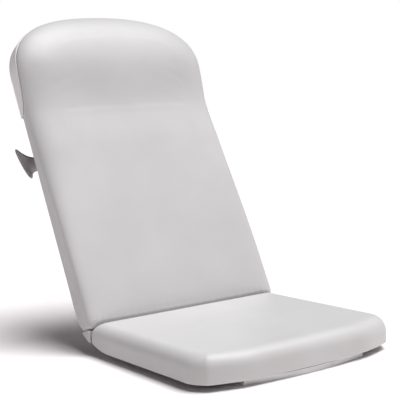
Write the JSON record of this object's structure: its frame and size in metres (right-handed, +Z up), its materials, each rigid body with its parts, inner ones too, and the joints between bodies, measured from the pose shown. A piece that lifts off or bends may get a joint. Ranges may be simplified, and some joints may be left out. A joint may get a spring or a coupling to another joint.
{
  "type": "reclining massage floor seat",
  "caption": "Legless padded seat with a reclining back, rear head cap, release paddle and low base tray, for massage use.",
  "frame": {"origin": "middle of the four mounting holes, on the underside of the base tray", "axes": "+Z up, -Y towards the front edge of the seat, +X to the sitter's left"},
  "size_m": [0.4906, 0.7896, 0.7357],
  "materials": {
    "seat_vinyl": "soft matt off-white upholstery vinyl with a fine grain",
    "back_vinyl": "soft matt off-white upholstery vinyl with a fine grain",
    "gusset_vinyl": "thin off-white vinyl, puckered",
    "cap_shell": "vinyl-covered moulded shell with a raised lip",
    "rear_panel": "flat off-white vinyl panel",
    "foam": "open-cell polyurethane foam",
    "plywood": "birch plywood, sanded",
    "tray_paint": "light grey powder coat",
    "gasket_rubber": "matt black rubber strip",
    "dust_cloth": "black non-woven dust cloth",
    "steel": "zinc-plated pressed steel",
    "black_steel": "black oxide steel",
    "nylon": "natural nylon",
    "paddle_plastic": "dark grey moulded plastic, satin",
    "brass_lever": "stamped brass, dull",
    "cable_black": "black cable sheath"
  },
  "bodies": {
    "seat": {"base_tray": "tray_paint", "base_lid": "tray_paint", "base_gasket": "gasket_rubber", "base_nuts": "steel", "base_spacers": "steel", "base_screws": "black_steel", "seat_board": "plywood", "seat_foam": "foam", "seat_cover": "seat_vinyl", "seat_bottom_cloth": "dust_cloth", "seat_bracket_left": "steel", "seat_bracket_right": "steel", "seat_bracket_screws": "black_steel", "hinge_pin_left": "steel", "hinge_pin_right": "steel", "lock_clevis": "steel", "lock_pin": "black_steel", "clevis_screws": "black_steel", "hinge_gusset": "gusset_vinyl"},
    "backrest": {"back_board": "plywood", "back_foam": "foam", "back_cover": "back_vinyl", "back_rear_panel": "rear_panel", "head_rear_cap": "cap_shell", "back_bracket_left": "steel", "back_bracket_right": "steel", "back_bracket_screws": "black_steel", "hinge_bush_left": "nylon", "hinge_bush_right": "nylon", "lock_housing": "black_steel", "lock_saddle": "steel", "saddle_screws": "black_steel", "release_cable": "cable_black", "cable_clips": "cable_black", "paddle_housing": "paddle_plastic", "paddle_pin": "steel", "paddle_spring": "steel"},
    "lock_rod": {"lock_rod": "steel"},
    "lock_lever": {"lock_lever": "brass_lever"},
    "paddle": {"release_paddle": "paddle_plastic"}
  },
  "joints": [
    {"name": "recline", "type": "hinge", "parent": "seat", "child": "backrest", "pos_m": [0, 0.18825, 0.055], "axis": [-1, 0, 0], "range_deg": [0, 45], "deforming": ["hinge_gusset"]},
    {"name": "lock_travel", "type": "slide", "parent": "backrest", "child": "lock_rod", "axis": [0, 0.4258, 0.9048], "range_m": [0, 0.0115]},
    {"name": "paddle_press", "type": "hinge", "parent": "backrest", "child": "paddle", "pos_m": [-0.212, 0.39313, 0.40536], "axis": [-1, 0, 0], "range_deg": [0, 12], "stiffness_Nm_per_rad": 0.8, "springref_deg": -17.19},
    {"name": "lever_swing", "type": "hinge", "parent": "backrest", "child": "lock_lever", "pos_m": [0, 0.28541, 0.19854], "axis": [0, 0.9048, -0.4258], "range_deg": [0, 9]}
  ],
  "couplings": [
    {"joint": "lock_travel", "follows": "recline", "m_per_rad": 0.014617},
    {"joint": "lever_swing", "follows": "paddle_press", "ratio": 0.72}
  ]
}
